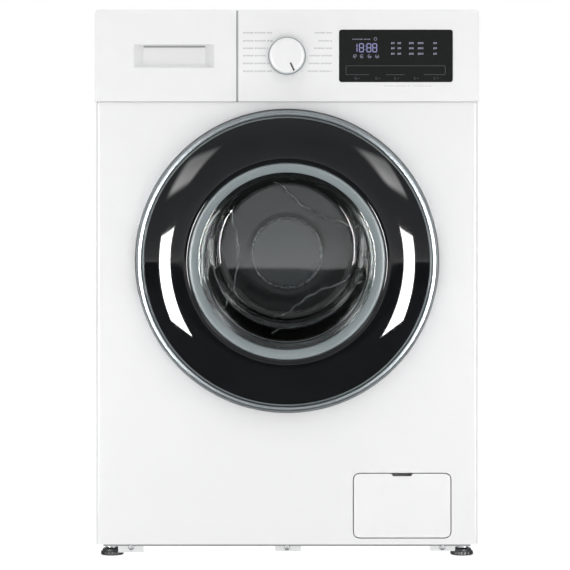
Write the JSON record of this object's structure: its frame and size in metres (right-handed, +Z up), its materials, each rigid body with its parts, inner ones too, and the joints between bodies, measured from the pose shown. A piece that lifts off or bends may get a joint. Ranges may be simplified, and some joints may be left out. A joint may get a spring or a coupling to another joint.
{
  "type": "front load washing machine",
  "caption": "Freestanding front load washing machine with a round glazed door, detergent drawer, programme knob, touch display and levelling feet.",
  "frame": {"origin": "on the floor under the middle of the machine's outer box", "axes": "+Z up, the front faces -Y, +X to the right when facing the front"},
  "size_m": [0.596, 0.55, 0.85],
  "materials": {
    "painted_steel": "smooth white enamel paint",
    "zinc_sheet": "pale grey coated steel",
    "white_plastic": "satin white moulded plastic",
    "grey_plastic": "light grey moulded plastic",
    "laminate": "white laminate",
    "plated_steel": "zinc plated",
    "stainless": "polished stainless steel",
    "trim_chrome": "bright chrome",
    "black_gloss": "deep gloss smoked black",
    "window_grey": "satin grey",
    "clear_glass": "clear pressed glass",
    "grey_rubber": "moulded rubber",
    "black_rubber": "moulded rubber",
    "black_plastic": "black moulded plastic",
    "green_board": "printed circuit board",
    "cast_aluminium": "as cast",
    "concrete": "cast concrete"
  },
  "bodies": {
    "root": {"front_panel": "painted_steel", "side_panels": "painted_steel", "rear_panel": "zinc_sheet", "rear_cover": "zinc_sheet", "worktop": "laminate", "top_crossbars": "zinc_sheet", "base_frame": "grey_plastic", "cabinet_screws": "plated_steel", "lock_nuts": "plated_steel", "transit_caps": "white_plastic", "cable_gland": "black_plastic", "control_fascia": "white_plastic", "fascia_carrier": "grey_plastic", "display_window": "black_gloss", "control_board": "green_board", "dispenser_housing": "grey_plastic", "inlet_valve": "grey_plastic", "fill_bellows": "black_rubber", "flap_frame": "white_plastic", "drain_pump": "grey_plastic", "drain_pipe": "grey_plastic", "sump_hose": "black_rubber", "door_lock": "grey_plastic", "hinge_bracket": "plated_steel", "gasket": "grey_rubber", "suspension_springs": "plated_steel", "damper_cylinders": "black_plastic"},
    "tub": {"tub_front": "grey_plastic", "tub_rear": "grey_plastic", "front_counterweights": "concrete", "upper_counterweight": "concrete", "drum_bearings": "plated_steel", "shaft_seal": "black_rubber", "gasket_clamp": "plated_steel", "heater": "stainless", "motor": "cast_aluminium", "drive_belt": "black_rubber", "damper_rods": "plated_steel"},
    "drum": {"drum_shell": "stainless", "drum_lifters": "stainless", "drum_spider": "cast_aluminium", "drum_shaft": "plated_steel", "drum_pulley": "cast_aluminium"},
    "motor_rotor": {"motor_pulley": "plated_steel"},
    "door": {"door_trim_ring": "trim_chrome", "door_cover": "black_gloss", "window_ring": "window_grey", "door_glass": "clear_glass", "door_inner_frame": "white_plastic", "door_hinge_plate": "plated_steel"},
    "door_hook": {"door_hook": "plated_steel"},
    "drawer": {"drawer_front": "white_plastic", "drawer_tray": "white_plastic"},
    "knob": {"knob": "white_plastic"},
    "service_flap": {"service_flap": "white_plastic"},
    "filter_cap": {"filter_cap": "grey_plastic"},
    "foot_front_left": {"foot_front_left": "black_plastic"},
    "foot_front_right": {"foot_front_right": "black_plastic"},
    "foot_rear_left": {"foot_rear_left": "black_plastic"},
    "foot_rear_right": {"foot_rear_right": "black_plastic"}
  },
  "joints": [
    {"name": "door_hinge", "type": "hinge", "parent": "root", "child": "door", "pos_m": [-0.222, -0.249, 0.4605], "axis": [0, 0, -1], "range_deg": [0, 115]},
    {"name": "hook_pivot", "type": "hinge", "parent": "door", "child": "door_hook", "pos_m": [0.19, -0.243, 0.4605], "axis": [0, 0, 1], "range_deg": [0, 10], "stiffness_Nm_per_rad": 0.1, "springref_deg": -17.19},
    {"name": "drawer_slide", "type": "slide", "parent": "root", "child": "drawer", "axis": [0, -1, 0], "range_m": [0, 0.2]},
    {"name": "knob_turn", "type": "hinge", "parent": "root", "child": "knob", "pos_m": [0, -0.25, 0.778], "axis": [0, 1, 0], "continuous": true},
    {"name": "tub_float", "type": "slide", "parent": "root", "child": "tub", "axis": [0, 0, 1], "range_m": [-0.012, 0.012], "stiffness_N_per_m": 6000, "springref_m": 0.055, "deforming": ["suspension_springs", "gasket", "sump_hose", "fill_bellows"]},
    {"name": "drum_spin", "type": "hinge", "parent": "tub", "child": "drum", "pos_m": [0, 0, 0.4605], "axis": [0, 1, 0], "continuous": true},
    {"name": "motor_spin", "type": "hinge", "parent": "tub", "child": "motor_rotor", "pos_m": [-0.07, 0.218, 0.138], "axis": [0, 1, 0], "continuous": true},
    {"name": "flap_hinge", "type": "hinge", "parent": "root", "child": "service_flap", "pos_m": [0.1786, -0.234, 0.0451], "axis": [1, 0, 0], "range_deg": [0, 90]},
    {"name": "filter_turn", "type": "hinge", "parent": "root", "child": "filter_cap", "pos_m": [0.15, -0.22, 0.08], "axis": [0, 1, 0], "range_deg": [0, 270]},
    {"name": "foot_front_left_turn", "type": "hinge", "parent": "root", "child": "foot_front_left", "pos_m": [-0.2735, -0.203, 0.005], "axis": [0, 0, 1], "continuous": true},
    {"name": "foot_front_right_turn", "type": "hinge", "parent": "root", "child": "foot_front_right", "pos_m": [0.2735, -0.203, 0.005], "axis": [0, 0, 1], "continuous": true},
    {"name": "foot_rear_left_turn", "type": "hinge", "parent": "root", "child": "foot_rear_left", "pos_m": [-0.2735, 0.225, 0.005], "axis": [0, 0, 1], "continuous": true},
    {"name": "foot_rear_right_turn", "type": "hinge", "parent": "root", "child": "foot_rear_right", "pos_m": [0.2735, 0.225, 0.005], "axis": [0, 0, 1], "continuous": true}
  ],
  "couplings": [
    {"joint": "motor_spin", "follows": "drum_spin", "ratio": 13.636}
  ]
}
